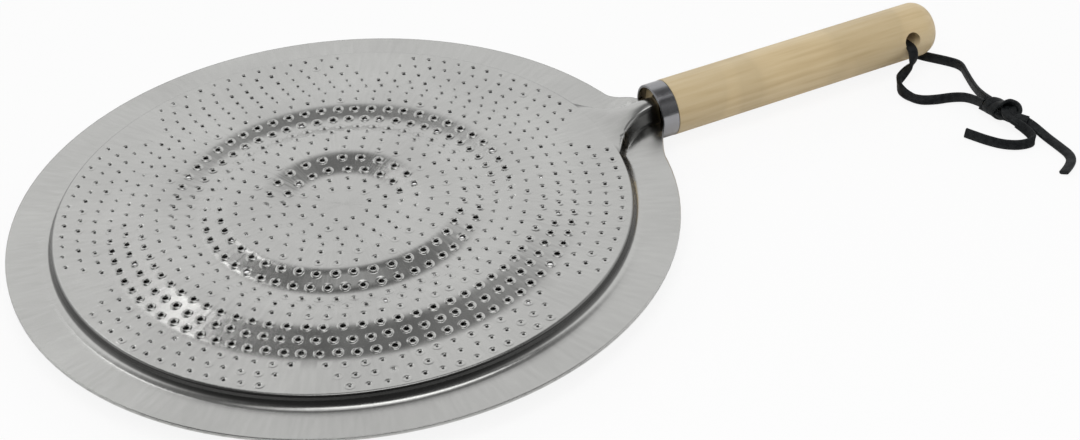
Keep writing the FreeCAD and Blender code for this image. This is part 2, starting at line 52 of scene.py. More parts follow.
VENT_OUTER_ROW = 87.0 * MM
VENT_ROW_PITCH = 4.9 * MM
VENT_ROW_SEAM = 0.2 * MM
VENT_RADIUS = 0.95 * MM
VENTS_IN_ROW = [78, 84, 84, 84, 80, 72, 66, 60, 58, 50, 42, 36, 30, 24, 20, 15, 10]
SECTOR_PITCHES = np.deg2rad([3.56, 3.64, 4.03])
SECTORS = 6
CELL_SIDES = 12
LIP_FOOT = 1.95 * MM
LIP_SIDE = 1.7 * MM
LIP_CREST = 1.45 * MM
LIP_TILT = 0.15
LIP_SIDE_TILT = 0.55
LIP_HEIGHT = 0.26 * MM
LIP_SIDE_SHARE = 0.5
HOLE_EDGE_SHARE = 0.8
VENT_DEPTH = 0.55 * MM
VENT_SHIFT = 0.12 * MM
VENT_SINK = 0.06 * MM
VENT_REACH = 1 * MM
SHADING_REACH = 0.2 * MM
GAP_STEPS = 7
NEARLY_ZERO = 1e-9
SAME_POINT = 1e-7

# A vent is full on a slope whose face is turned away from the level direction given here. Elsewhere it is
# small, shallow and with hardly a lip. Each pair holds the ranges of shares for a small and for a full vent.
FULL_AWAY_FROM = (0.42, 0.91)
FULL_FROM = -0.015
FULL_OVER = 0.1
HOLE_SHARES = ((0.4, 0.75), (0.92, 1.05))
LIP_SHARES = ((0, 0.3), (0.8, 1.2))
NARROWING_SHARES = ((0.1, 0.7), (0.85, 0.97))
SMALL_DEPTH = 0.4


def plate_height(radius):
    """Height of the plate's upper face inside the step: straight slopes between the beads' corners, averaged
    over a short stretch to each side so that each corner becomes a soft bend."""
    offsets = np.linspace(-1, 1, 9) * BEAD_ROUNDING
    samples = np.abs(np.asarray(radius)[..., None] + offsets)
    return PLATFORM_TOP + np.interp(samples, BEAD_RADII, BEAD_HEIGHTS).mean(axis=-1)


def plate_slope(radius, reach):
    """Rise of the plate from reach inside a radius to reach outside it, over that distance."""
    return (plate_height(radius + reach) - plate_height(radius - reach)) / (2 * reach)


def plate_normal(radius, angle):
    """Shading normal of the plain plate: (-s cos a, -s sin a, 1) scaled to length 1, where s is its slope."""
    radius, angle = np.broadcast_arrays(radius, angle)
    slope = plate_slope(radius, SHADING_REACH)
    normal = np.stack([-slope * np.cos(angle), -slope * np.sin(angle), np.ones_like(slope)], axis=-1)
    return (normal / np.linalg.norm(normal, axis=-1, keepdims=True)).reshape(-1, 3)


def eased(share):
    """Smooth step 3 s^2 - 2 s^3 of a share held between 0 and 1."""
    share = np.clip(share, 0, 1)
    return share * share * (3 - 2 * share)


def rounded_path(corners, radii, steps):
    """Points along straight runs in a plane, with each inner corner replaced by an arc of its own radius:
    centre + radius * (cos, sin) swept from one tangent point to the other."""
    points = [corners[0]]
    for before, corner, after, radius in zip(corners, corners[1:], corners[2:], radii):
        incoming = (corner - before) / np.linalg.norm(corner - before)
        outgoing = (after - corner) / np.linalg.norm(after - corner)
        half_turn = np.arccos(np.clip(incoming @ outgoing, -1, 1)) / 2
        start = corner - incoming * radius * np.tan(half_turn)
        inward = outgoing - incoming
        centre = corner + inward / np.linalg.norm(inward) * radius / np.cos(half_turn)
        side = np.sign(incoming[0] * outgoing[1] - incoming[1] * outgoing[0])
        turns = np.linspace(0, 2 * half_turn, steps) * side
        arm = start - centre
        swept = np.stack([arm[0] * np.cos(turns) - arm[1] * np.sin(turns),
                          arm[0] * np.sin(turns) + arm[1] * np.cos(turns)], axis=1)
        points.extend(centre + swept)
    points.append(corners[-1])
    return np.array(points)


def grid_quads(first, rows, columns, closed):
    """Quads of a grid whose vertices run row by row from index first; closed joins last column to first."""
    across = np.arange(columns if closed else columns - 1)
    row = np.arange(rows - 1)[:, None]
    here = first + row * columns + across
    beside = first + row * columns + (across + 1) % columns
    return np.stack([here, here + columns, beside + columns, beside], axis=-1).reshape(-1, 4)


def zip_rings(inner, inner_angles, outer, outer_angles):
    """Triangles between two rings of vertices in one plane whose numbers differ. Each edge of one ring is
    joined to the last vertex of the other ring that comes before the edge's end."""
    behind_outer = np.searchsorted(outer_angles, inner_angles, side="left") - 1
    behind_inner = np.searchsorted(inner_angles, outer_angles, side="right") - 1
    on_inner = np.stack([np.roll(inner, 1), outer[behind_outer], inner], axis=1)
    on_outer = np.stack([np.roll(outer, 1), outer, inner[behind_inner]], axis=1)
    return np.vstack([on_inner, on_outer])


def mesh_piece(name, vertices, faces, sharp=None, normals=None):
    """An object at the origin with the given vertices and faces, coinciding vertices joined, shaded smooth
    but for edges that turn by more than the sharp angle. A vertex whose given normal isn't zero keeps it."""
    mesh = bpy.data.meshes.new(name)
    mesh.from_pydata(np.asarray(vertices).tolist(), [], faces)
    if normals is not None:
        mesh.attributes.new("given", "FLOAT_VECTOR", "POINT").data.foreach_set("vector", normals.ravel())
    work = bmesh.new()
    work.from_mesh(mesh)
    bmesh.ops.remove_doubles(work, verts=work.verts, dist=SAME_POINT)
    work.to_mesh(mesh)
    work.free()
    mesh.shade_smooth()
    if sharp is not None:
        mesh.set_sharp_from_angle(angle=np.deg2rad(sharp))
    if normals is not None:
        given = mesh.attributes["given"]
        kept = np.zeros(len(mesh.vertices) * 3)
        given.data.foreach_get("vector", kept)
        mesh.attributes.remove(given)
        mesh.normals_split_custom_set_from_vertices(kept.reshape(-1, 3).tolist())
    piece = bpy.data.objects.new(name, mesh)
    bpy.context.scene.collection.objects.link(piece)
    return piece


def polar(radius, angle, height):
    """Vertices x = r cos a, y = r sin a, z, one per element of the arrays."""
    radius, angle, height = np.broadcast_arrays(radius, angle, height)
    return np.stack([radius * np.cos(angle), radius * np.sin(angle), height], axis=-1).reshape(-1, 3)


# The neck rises out of the rim and runs on into the ferrule as a channel, with a wing on each side of it.
NECK_X = np.array([86, 90, 94, 97, 101.6, 105, 108, 118]) * MM
NECK_HALF_WIDTH = np.array([22, 17, 11.2, 8.3, 5.8, 5.2, 5.1, 5.1]) * MM
NECK_CREST = np.array([3.7, 3.75, 4.3, 5.0, 6.2, 7.0, 7.6, 7.6]) * MM
NECK_POWER = np.array([7, 6, 5, 4, 3, 2.6, 2.4, 2.4])
FERRULE_FRONT = 108.7 * MM
WING_START = 98 * MM
WING_LIFT = 3.3 * MM
WING_HALF = 8.1 * MM
WING_END = 110.7 * MM
WING_FLARE = 4.2 * MM
NEAR_WING_LIFT = 1.0 * MM
NEAR_WING_START = 94 * MM
NEAR_WALL = 2.6 * MM
WING_FALL_FROM = 9 * MM
WING_FALL_OVER = 13 * MM
WING_WITHIN = 0.3
ROUNDER_FROM = 98 * MM
ROUNDER_OVER = 10 * MM
LEAST_ROUNDING = 0.05
ADDED_ROUNDING = 0.25
CHANNEL_SINK = 0.3 * MM
FLARE_START = np.deg2rad(11.5)
FLARE_END = np.deg2rad(4.4)
FLARE_POWER = 1.5
NECK_HALF_ANGLE = np.deg2rad(14)


def along_neck(x, sizes):
    """A size of the neck at each x: straight runs between its given values, averaged over 4 mm."""
    return np.interp(x[..., None] + np.linspace(-2, 2, 9) * MM, NECK_X, sizes).mean(axis=-1)


def neck_height(x, y, flat):
    """Height of the upper face where the neck rises out of the rim. Its far half is a superellipse
    crest * (1 - |y / a| ** n) ** (1 / n). Its near half is crest * (1 - r (y / a) ** 2), rounder towards the
    ferrule, and drops to the rim in an eased wall. Half width, crest and power change along x. The wings beside
    it rise towards the ferrule, the near one less, and the higher of channel and wing holds."""
    half_width, crest, power = (along_neck(x, sizes) for sizes in (NECK_HALF_WIDTH, NECK_CREST, NECK_POWER))
    inside = np.clip(1 - (np.abs(y) / half_width) ** power, 0, 1) ** (1 / power)
    rounding = LEAST_ROUNDING + ADDED_ROUNDING * eased((x - ROUNDER_FROM) / ROUNDER_OVER)
    near_wall = eased((half_width + y) / NEAR_WALL) * (1 - rounding * (y / half_width) ** 2)
    inside = np.where(y < 0, near_wall, inside)
    channel = RIM_TOP + crest * inside - CHANNEL_SINK * (inside <= 0)
    far_wing = WING_LIFT * eased((x - WING_START) / (FERRULE_FRONT - WING_START))
    near_wing = NEAR_WING_LIFT * eased((x - NEAR_WING_START) / (FERRULE_FRONT - NEAR_WING_START))
    lift = np.where(y > 0, far_wing, near_wing) * eased(1 - (np.abs(y) - WING_FALL_FROM) / WING_FALL_OVER)
    return np.maximum(channel, flat + lift)


chance = np.random.default_rng(7)


def drawn(shares, full):
    """A random share for each vent: a * (1 - full) + b * full, with a from the first range and b from the other."""
    small, large = (chance.uniform(*span, full.shape) for span in shares)
    return small * (1 - full) + large * full


# A vent's cell is a piece of a ring, with rings of vertices from its border over the lip into the hole. Its
# border goes round a square, whose inner and outer sides are later joined to the next rows of cells.
direction = np.deg2rad(45) + 2 * np.pi * np.arange(CELL_SIDES) / CELL_SIDES
square = np.stack([np.cos(direction), np.sin(direction)]) / np.maximum(np.abs(np.cos(direction)),
                                                                       np.abs(np.sin(direction)))
outer_side = np.nonzero(square[0] > 1 - NEARLY_ZERO)[0]
outer_side = outer_side[np.argsort(square[1][outer_side])]
inner_side = np.nonzero(square[0] < -1 + NEARLY_ZERO)[0]
inner_side = inner_side[np.argsort(square[1][inner_side])]
half_row = (VENT_ROW_PITCH - VENT_ROW_SEAM) / 2
plate_vertices = []
plate_normals = []
plate_faces = []
vertex_count = 0
rings = []
for row, count in enumerate(VENTS_IN_ROW):
    row_radius = VENT_OUTER_ROW - row * VENT_ROW_PITCH
    if row < len(SECTOR_PITCHES):
        pitch = SECTOR_PITCHES[row]
        in_sector = count // SECTORS
        steps = np.arange(in_sector) - (in_sector - 1) / 2
        middles = 2 * np.pi / SECTORS * (np.arange(SECTORS) + 0.5)
        angles = (middles[:, None] + steps * pitch).ravel()
    else:
        pitch = 2 * np.pi / count
        angles = (np.arange(count) + 0.5) * pitch
    across = np.array([row_radius + square[0] * half_row, square[1] * pitch / 2])
    slope = plate_slope(row_radius, VENT_REACH)
    facing = slope * (FULL_AWAY_FROM[0] * np.cos(angles) + FULL_AWAY_FROM[1] * np.sin(angles))
    full = eased((facing[:, None] - FULL_FROM) / FULL_OVER)
    hole = VENT_RADIUS * drawn(HOLE_SHARES, full)
    height = LIP_HEIGHT * drawn(LIP_SHARES, full)
    narrowing = drawn(NARROWING_SHARES, full)
    depth = VENT_DEPTH * (SMALL_DEPTH + (1 - SMALL_DEPTH) * full)
    shift = VENT_SHIFT * chance.normal(size=(2, count, 1))
    sunk = VENT_SINK * chance.uniform(0, 1, (count, 1))
    middle = plate_height(np.hypot(row_radius + shift[0], shift[1])) - sunk
    cell = []
    shading = [plate_normal(across[0], angles[:, None] + across[1])]
    for radius, tilt, lift in ((LIP_FOOT, 1, 0), (LIP_SIDE, LIP_SIDE_TILT, LIP_SIDE_SHARE * height),
                               (LIP_CREST, LIP_TILT, height), (hole, LIP_TILT, HOLE_EDGE_SHARE * height),
                               (hole * narrowing, LIP_TILT, -depth)):
        along = row_radius + radius * np.cos(direction) + shift[0]
        beside = radius * np.sin(direction) + shift[1]
        distance = np.hypot(along, beside)
        turn = angles[:, None] + np.arctan2(beside, along)
        level = tilt * plate_height(distance) + (1 - tilt) * middle + lift
        cell.append(polar(distance, turn, level).reshape(count, -1, 3))
        shading.append(plate_normal(distance, turn) * (tilt == 1))
    border_angle = angles[:, None] + across[1]
    border_height = plate_height(across[0])
    top = polar(across[0], border_angle, border_height).reshape(count, -1, 3)
    bottom = polar(across[0], border_angle, border_height - PLATE_GAUGE).reshape(count, -1, 3)
    cells = np.stack([top] + cell + [bottom], axis=1)
    plate_vertices.append(cells.reshape(-1, 3))
    shading = [normal.reshape(count, -1, 3) for normal in shading] + [np.zeros_like(bottom)]
    plate_normals.append(np.stack(shading, axis=1).reshape(-1, 3))
    one = grid_quads(0, cells.shape[1], CELL_SIDES, True)[:, ::-1]
    starts = vertex_count + np.arange(count) * cells.shape[1] * CELL_SIDES
    plate_faces.append((starts[:, None, None] + one).reshape(-1, 4))
    sides = {}
    for place, side in (("outer", outer_side), ("inner", inner_side)):
        for face, ring in (("top", 0), ("bottom", cells.shape[1] - 1)):
            index = (starts[:, None] + ring * CELL_SIDES + side[:-1]).ravel()
            around = (angles[:, None] + across[1][side[:-1]]).ravel()
            sides[place, face] = [index, around]
    vertex_count += cells.size // 3
    # Between the six sectors of an outer row the plate is plain.
    if row < len(SECTOR_PITCHES):
        ends = middles + in_sector * pitch / 2
        gap = 2 * np.pi / SECTORS - in_sector * pitch
        plain = ends[:, None] + gap * np.linspace(0, 1, GAP_STEPS)
        loop = [(row_radius - half_row, 0), (row_radius + half_row, 0),
                (row_radius + half_row, PLATE_GAUGE), (row_radius - half_row, PLATE_GAUGE)]
        patch = np.stack([polar(r, plain, plate_height(np.full(1, r)) - drop).reshape(SECTORS, -1, 3)
                          for r, drop in loop], axis=1)
        plate_vertices.append(patch.reshape(-1, 3))
        flat = np.stack([plate_normal(r, plain).reshape(SECTORS, -1, 3) * (drop == 0) for r, drop in loop], axis=1)
        plate_normals.append(flat.reshape(-1, 3))
        begin = vertex_count + np.arange(SECTORS) * patch.shape[1] * GAP_STEPS
        top_quads = grid_quads(0, 2, GAP_STEPS, False)
        bottom_quads = grid_quads(2 * GAP_STEPS, 2, GAP_STEPS, False)
        both = np.vstack([top_quads, bottom_quads])
        plate_faces.append((begin[:, None, None] + both).reshape(-1, 4))
        for place, face, ring in (("inner", "top", 0), ("outer", "top", 1),
                                  ("outer", "bottom", 2), ("inner", "bottom", 3)):
            index = (begin[:, None] + ring * GAP_STEPS + np.arange(GAP_STEPS - 1)).ravel()
            sides[place, face][0] = np.concatenate([sides[place, face][0], index])
            sides[place, face][1] = np.concatenate([sides[place, face][1], plain[:, :-1].ravel()])
        vertex_count += patch.size // 3
    for key, (index, around) in sides.items():
        around = np.mod(around, 2 * np.pi)
        order = np.argsort(around)
        sides[key] = (index[order], around[order])
    rings.append(sides)

# The step and the rim are one path carried round the disc, above and below, with more columns over the neck.
STEP_OUT = np.array([-0.85, 0, 1.1, 4.9, 6.0]) * MM
STEP_UP = np.array([PLATFORM_TOP, PLATFORM_TOP, RIM_TOP + 0.12 * MM, RIM_TOP, RIM_TOP])
STEP_ROUNDINGS = np.array([1.0, 3.2, 30]) * MM
ARC_STEPS = 7
RIM_ROWS = 25
FINE_TO = 13
FINE_COLUMNS = 131
COARSE_COLUMNS = 121
step_path = rounded_path(np.stack([STEP_OUT + PLATFORM_RADIUS, STEP_UP], axis=1), STEP_ROUNDINGS, ARC_STEPS)
rim_rows = np.linspace(step_path[-1, 0], RIM_RADIUS, RIM_ROWS)[1:]
rim_path = np.stack([rim_rows, np.full_like(rim_rows, RIM_TOP)], axis=1)
upper = np.vstack([step_path, rim_path])
away = np.gradient(upper, axis=0)
away = np.stack([away[:, 1], -away[:, 0]], axis=1)
lower = upper + away / np.linalg.norm(away, axis=1, keepdims=True) * PLATE_GAUGE
loop_path = np.vstack([upper, lower[::-1]])
fine = np.deg2rad(np.linspace(-FINE_TO, FINE_TO, FINE_COLUMNS))
coarse = np.deg2rad(np.linspace(FINE_TO, 360 - FINE_TO, COARSE_COLUMNS))
columns = np.sort(np.mod(np.concatenate([fine, coarse[1:-1]]), 2 * np.pi))
signed = np.where(columns > np.pi, columns - 2 * np.pi, columns)
wing_reach = np.minimum(WING_END / np.cos(signed), WING_HALF / np.maximum(np.abs(np.sin(signed)), NEARLY_ZERO))
flaring = np.clip((FLARE_START - np.abs(signed)) / (FLARE_START - FLARE_END), 0, 1) ** FLARE_POWER
flare = RIM_RADIUS + WING_FLARE * flaring
outline = np.maximum(flare, np.where(np.abs(signed) < WING_WITHIN, wing_reach, 0))
stretch = np.clip((loop_path[:, :1] - rim_rows[0]) / (RIM_RADIUS - rim_rows[0]), 0, 1)
reach = loop_path[:, :1] + stretch * (outline - RIM_RADIUS)
below = np.concatenate([np.zeros(len(upper)), np.full(len(lower), PLATE_GAUGE)])[:, None]
x = reach * np.cos(columns)
y = reach * np.sin(columns)
level = np.broadcast_to(loop_path[:, 1:], reach.shape) + below
near_neck = (np.abs(signed) < NECK_HALF_ANGLE) & (x > NECK_X[0] - 1 * MM)
raised = np.where(near_neck, neck_height(x, y, level), level)
plate_vertices.append(polar(reach, columns, np.where(below > 0, raised - below, raised)))
plate_faces.append(grid_quads(vertex_count, len(loop_path), columns.size, True))
rings.insert(0, {("inner", "top"): (vertex_count + np.arange(columns.size), columns),
                 ("inner", "bottom"): (vertex_count + (len(loop_path) - 1) * columns.size
                                       + np.arange(columns.size), columns)})
plate_normals.append(np.zeros((reach.size, 3)))
vertex_count += reach.size

# The rows are joined by triangles, because their numbers of vents differ, and a fan closes the middle.
triangles = []
for outward, inward in zip(rings, rings[1:]):
    triangles.append(zip_rings(*inward["outer", "top"], *outward["inner", "top"]))
    triangles.append(zip_rings(*inward["outer", "bottom"], *outward["inner", "bottom"])[:, ::-1])
for face, drop, turn in (("top", 0, 1), ("bottom", PLATE_GAUGE, -1)):
    ring = rings[-1]["inner", face][0]
    plate_vertices.append(np.array([[0, 0, plate_height(np.zeros(1))[0] - drop]]))
    plate_normals.append(np.array([[0, 0, 1.0 if turn == 1 else 0]]))
    fan = np.stack([ring, np.roll(ring, -1), np.full_like(ring, vertex_count)], axis=1)
    triangles.append(fan[:, ::turn])
    vertex_count += 1
faces = np.vstack(plate_faces).tolist() + np.vstack(triangles).tolist()
top_plate = mesh_piece("top_plate_sheet", np.vstack(plate_vertices), faces, sharp=50,
                       normals=np.vstack(plate_normals))

# Painted shade on the near wall of the neck, under its crest: a value at each vertex, 1 where the shade is full.
NECK_SHADE_FROM = 90 * MM
NECK_SHADE_OVER = 3 * MM
NECK_SHADE_FOOT, NECK_SHADE_FOOT_OVER = -0.1, 0.25
NECK_SHADE_CREST, NECK_SHADE_CREST_OVER = 1.1, 0.45
points = np.zeros(len(top_plate.data.vertices) * 3)
top_plate.data.vertices.foreach_get("co", points)
x, y = points.reshape(-1, 3).T[:2]
up_wall = (along_neck(x, NECK_HALF_WIDTH) + y) / NEAR_WALL
on_wall = eased((up_wall - NECK_SHADE_FOOT) / NECK_SHADE_FOOT_OVER) * eased((NECK_SHADE_CREST - up_wall) / NECK_SHADE_CREST_OVER)
painted_neck_shade = eased((x - NECK_SHADE_FROM) / NECK_SHADE_OVER) * (y < 0) * on_wall
top_plate.data.attributes.new("painted_neck_shade", "FLOAT", "POINT").data.foreach_set("value", painted_neck_shade)
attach(top_plate, "root")
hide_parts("top_plate")

# Mottle, in every finish: a value that wanders over the surface between a low and a high one.
NOISE_LOW, NOISE_HIGH = 0.3, 0.7
wander = bpy.data.node_groups.new("mottle", "ShaderNodeTree")
for name, kind in (("Vector", "Vector"), ("Scale", "Float"), ("Detail", "Float"), ("Low", "Float"), ("High", "Float")):
    wander.interface.new_socket(name, in_out="INPUT", socket_type="NodeSocket" + kind)
wander.interface.new_socket("Value", in_out="OUTPUT", socket_type="NodeSocketFloat")
given = wander.nodes.new("NodeGroupInput")
noise = wander.nodes.new("ShaderNodeTexNoise")
span = wander.nodes.new("ShaderNodeMapRange")
span.inputs["From Min"].default_value = NOISE_LOW
span.inputs["From Max"].default_value = NOISE_HIGH
for name in ("Vector", "Scale", "Detail"):
    wander.links.new(given.outputs[name], noise.inputs[name])
wander.links.new(noise.outputs["Fac"], span.inputs["Value"])
wander.links.new(given.outputs["Low"], span.inputs["To Min"])
wander.links.new(given.outputs["High"], span.inputs["To Max"])
wander.links.new(span.outputs["Result"], wander.nodes.new("NodeGroupOutput").inputs["Value"])


def mottle(tree, vector, scale, detail, low, high):
    """A value that wanders between low and high with a noise of the given scale."""
    node = tree.nodes.new("ShaderNodeGroup")
    node.node_tree = wander
    tree.links.new(vector, node.inputs["Vector"])
    for name, value in (("Scale", scale), ("Detail", detail), ("Low", low), ("High", high)):
        node.inputs[name].default_value = value
    return node.outputs["Value"]


def new_finish(name):
    """A material with nodes, its node tree and its shader, for one finish."""
    material = bpy.data.materials.new(name)
    material.use_nodes = True
    return material, material.node_tree, material.node_tree.nodes["Principled BSDF"]


def bumped(tree, height, strength, distance):
    """The normal of a surface that is raised by a height value."""
    bump = tree.nodes.new("ShaderNodeBump")
    bump.inputs["Strength"].default_value = strength
    bump.inputs["Distance"].default_value = distance
    tree.links.new(height, bump.inputs["Height"])
    return bump.outputs["Normal"]


def on_vector(tree, operation, vector, *others):
    """A vector math node over a vector of nodes and other vectors, of nodes or constant."""
    node = tree.nodes.new("ShaderNodeVectorMath")
    node.operation = operation
    for socket, value in zip(node.inputs, (vector, *others)):
        if isinstance(value, tuple):
            socket.default_value = value
        else:
            tree.links.new(value, socket)
    return node


def combine(tree, operation, one, other):
    """A math node over a value and a value or number."""
    node = tree.nodes.new("ShaderNodeMath")
    node.operation = operation
    for socket, value in zip(node.inputs, (one, other)):
        if isinstance(value, (int, float)):
            socket.default_value = value
        else:
            tree.links.new(value, socket)
    return node.outputs["Value"]


def grey_ramp(tree, value, stops):
    """A colour ramp over a value from 0 to 1, whose stops are (position, colour or grey level)."""
    ramp = tree.nodes.new("ShaderNodeValToRGB")
    elements = ramp.color_ramp.elements
    while len(elements) < len(stops):
        elements.new(0.5)
    for element, (position, level) in zip(elements, stops):
        element.position = position
        element.color = (*level, 1) if isinstance(level, tuple) else (level, level, level, 1)
    tree.links.new(value, ramp.inputs["Fac"])
    return ramp.outputs["Color"]


def blended(tree, way, one, other):
    """Two colours put together in the given way, such as MULTIPLY."""
    mix = tree.nodes.new("ShaderNodeMix")
    mix.data_type = "RGBA"
    mix.blend_type = way
    mix.inputs["Factor"].default_value = 1
    for socket, value in ((mix.inputs["A"], one), (mix.inputs["B"], other)):
        if isinstance(value, tuple):
            socket.default_value = value
        else:
            tree.links.new(value, socket)
    return mix.outputs["Result"]


def times(tree, one, other):
    """The product of two colours."""
    return blended(tree, "MULTIPLY", one, other)


def lighter(tree, one, other):
    """The lighter of two colours, channel by channel."""
    return blended(tree, "LIGHTEN", one, other)


# Tinned sheet: a bright metal with streaks that run outwards. Painted shade darkens the step's wall and the seam
# beside it, found by distance from the axis and by height, and the near wall under the neck's crest.
TIN = (0.575, 0.575, 0.56, 1)
STREAK_LENGTHENING = 2.0
STEP_BAND_START = PLATFORM_RADIUS - 1.0 * MM
STEP_BANDS_PER_METRE = 200.0
sheet_steel, tree, shader = new_finish("tinned_sheet")
shader.inputs["Metallic"].default_value = 1
place = tree.nodes.new("ShaderNodeTexCoord").outputs["Object"]
flat = on_vector(tree, "MULTIPLY", place, (1, 1, 0)).outputs["Vector"]
radius = on_vector(tree, "LENGTH", flat).outputs["Value"]
heading = on_vector(tree, "NORMALIZE", flat).outputs["Vector"]
lift = tree.nodes.new("ShaderNodeCombineXYZ")
tree.links.new(combine(tree, "MULTIPLY", radius, STREAK_LENGTHENING), lift.inputs["Z"])
spoke = on_vector(tree, "ADD", heading, lift.outputs["Vector"]).outputs["Vector"]
cloud = mottle(tree, place, 45, 4, 0.94, 1.05)
streak = mottle(tree, spoke, 60, 3, 0.97, 1.03)
# Painted shade: the step's wall and the seam beside it are darkened by radius and by height.
near_step = combine(tree, "MULTIPLY", combine(tree, "SUBTRACT", radius, STEP_BAND_START), STEP_BANDS_PER_METRE)
beside_step = grey_ramp(tree, near_step, [(0.05, 1.0), (0.15, 0.0), (0.9, 0.0), (1.0, 1.0)])
rise = tree.nodes.new("ShaderNodeSeparateXYZ")
tree.links.new(place, rise.inputs["Vector"])
up_step = combine(tree, "SUBTRACT", rise.outputs["Z"], RIM_TOP)
up_step = combine(tree, "MULTIPLY", up_step, 1 / (PLATFORM_TOP - RIM_TOP))
wall = grey_ramp(tree, up_step, [(0.2, 1.0), (0.3, 0.28), (0.5, 0.17), (0.88, 0.13), (0.97, 0.5), (1.0, 1.0)])
painted_shade = lighter(tree, beside_step, wall)
# Painted shade: the near wall under the neck's crest is darkened by its value at each vertex.
under_crest = tree.nodes.new("ShaderNodeAttribute")
under_crest.attribute_name = "painted_neck_shade"
painted_shade = times(tree, painted_shade, grey_ramp(tree, under_crest.outputs["Fac"], [(0, 1), (1, 0.2)]))
tin = times(tree, TIN, combine(tree, "MULTIPLY", cloud, streak))
tree.links.new(times(tree, tin, painted_shade), shader.inputs["Base Color"])
tree.links.new(mottle(tree, place, 90, 3, 0.19, 0.25), shader.inputs["Roughness"])
waves = combine(tree, "ADD", mottle(tree, spoke, 26, 2, 0, 0.7), mottle(tree, place, 30, 2, 0, 0.3))
tree.links.new(bumped(tree, waves, 0.15, 0.15 * MM), shader.inputs["Normal"])
top_plate.data.materials.append(sheet_steel)

# Base plate: the lower disc, a shallow dish pressed from the same tinned sheet, with round inlets. Its rim lies
# against the top plate's rim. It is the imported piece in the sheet's own finish.
base_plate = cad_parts["base_plate"]
base_plate.data.materials.clear()
base_plate.data.materials.append(sheet_steel)

# Ferrule: a short length of drawn steel tube, pushed over the handle's spigot, with the plates' tang inside.
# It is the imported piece, in a steel that is darker and a little bluer than the tinned sheet.
DRAWN_STEEL = (0.35, 0.35, 0.365, 1)
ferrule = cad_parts["ferrule"]
ferrule_steel, tree, shader = new_finish("ferrule_tube")
shader.inputs["Metallic"].default_value = 1
shader.inputs["Base Color"].default_value = DRAWN_STEEL
place = tree.nodes.new("ShaderNodeTexCoord").outputs["Object"]
tree.links.new(mottle(tree, place, 150, 3, 0.16, 0.24), shader.inputs["Roughness"])
ferrule.data.materials.clear()
ferrule.data.materials.append(ferrule_steel)

# Handle: a turned beech dowel with a rounded end, sanded and lacquered, with a cross hole for the lace. Its
# grain runs along it, with fine pores and faint bands across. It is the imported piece, fixed on the tang.
WOOD_TONES = [(0.15, (0.55, 0.41, 0.22)), (0.5, (0.64, 0.50, 0.29)), (0.9, (0.71, 0.575, 0.36))]
GRAIN_STRETCH = (0.06, 1, 1)
BAND_STRETCH = (1, 0.25, 0.25)
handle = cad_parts["handle"]
wood, tree, shader = new_finish("beech")
place = tree.nodes.new("ShaderNodeTexCoord")
along_grain = tree.nodes.new("ShaderNodeMapping")
along_grain.inputs["Scale"].default_value = GRAIN_STRETCH
tree.links.new(place.outputs["Object"], along_grain.inputs["Vector"])
grain = along_grain.outputs["Vector"]
bands = tree.nodes.new("ShaderNodeMapping")
bands.inputs["Scale"].default_value = BAND_STRETCH
tree.links.new(place.outputs["Object"], bands.inputs["Vector"])
fine_grain = combine(tree, "ADD", mottle(tree, grain, 500, 5, 0.1, 0.6), mottle(tree, grain, 130, 2, 0, 0.4))
colour = grey_ramp(tree, fine_grain, WOOD_TONES)
cross = grey_ramp(tree, mottle(tree, bands.outputs["Vector"], 55, 1, 0, 1), [(0.35, 0.93), (0.5, 1.0), (0.8, 1.04)])
tree.links.new(times(tree, colour, cross), shader.inputs["Base Color"])
tree.links.new(mottle(tree, grain, 300, 3, 0.38, 0.5), shader.inputs["Roughness"])
pores = mottle(tree, grain, 900, 3, 0, 1)
tree.links.new(bumped(tree, pores, 0.2, 0.05 * MM), shader.inputs["Normal"])
handle.data.materials.clear()
handle.data.materials.append(wood)

# Lace: one flat black leather lace, looped through the cross hole and tied in an overhand knot with two
# short tails. Each stretch follows a smooth line drawn by given points, and twists along it.
LACE_WIDTH = 3.3 * MM
LACE_THICKNESS = 1.45 * MM
LACE_SIDES = 16
LACE_SQUARENESS = 0.55
KNOT_STRAND_WIDTH = 2.8 * MM
KNOT_STRAND_ASIDE = 1.2 * MM
LEATHER_TONES = [(0.2, (0.004, 0.005, 0.006)), (0.9, (0.012, 0.014, 0.015))]
LACE_ROUTES = {
    "lace_loop": [(215.1, -39.6, 3.4), (215.2, -34.6, 2.6), (216.9, -27.5, 1.6), (219.2, -19.6, 1.6),
                  (220.9, -14.2, 1.6), (217.6, -9.0, 1.6), (212.6, -2.7, 1.6), (208.9, 4.6, 1.5),
                  (206.6, 10.0, 1.7), (205.2, 12.0, 4.9), (204.4, 10.4, 7.5), (204.3, 3.5, 9.1),
                  (203.9, -4.5, 10.9), (203.0, -10.6, 12.2), (203.0, -11.7, 9.6), (202.9, -11.6, 6.4),
                  (199.8, -11.4, 3.9), (196.2, -12.9, 2.2), (194.3, -18.3, 1.6), (196.4, -24.5, 1.2),
                  (201.6, -27.3, 1.2), (207.4, -29.6, 1.8), (211.0, -34.2, 3.0), (212.13, -40.12, 3.4)],
    "lace_tail_a": [(217.9, -54.2, 3.4), (218.8, -59.3, 3.2), (220.2, -64.0, 1.5), (221.2, -69.6, 0.8),
                    (221.3, -75.9, 0.8), (218.2, -79.9, 0.8), (213.8, -82.2, 0.8)],
    "lace_tail_b": [(215.0, -54.9, 3.4), (216.4, -60.1, 2.4), (215.6, -64.0, 1.5), (210.6, -63.8, 1.5),
                    (206.0, -60.8, 1.5), (203.0, -56.6, 1.5), (200.8, -52.4, 1.5), (199.1, -48.8, 1.5)],
}
